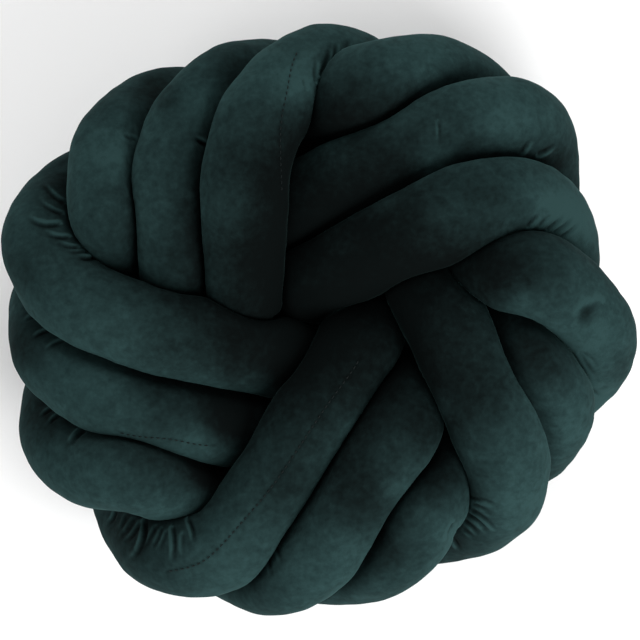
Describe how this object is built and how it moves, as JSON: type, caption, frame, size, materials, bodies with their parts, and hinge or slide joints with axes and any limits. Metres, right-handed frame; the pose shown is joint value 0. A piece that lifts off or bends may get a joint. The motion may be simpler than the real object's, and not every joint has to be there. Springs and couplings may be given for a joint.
{
  "type": "knot cushion",
  "caption": "Round velvet knot cushion: a long stuffed tube wound into a flat pinwheel knot that lies on its back.",
  "frame": {"origin": "on the resting surface, under the middle of the knot's outline", "axes": "+Z up out of the face, +X to the right and +Y up as the face is seen"},
  "size_m": [0.4452, 0.4136, 0.1764],
  "materials": {
    "velvet": "short-pile velvet, very dark green, mottled where the pile is brushed"
  },
  "bodies": {
    "root": {"knot_cushion": "velvet"}
  },
  "joints": []
}
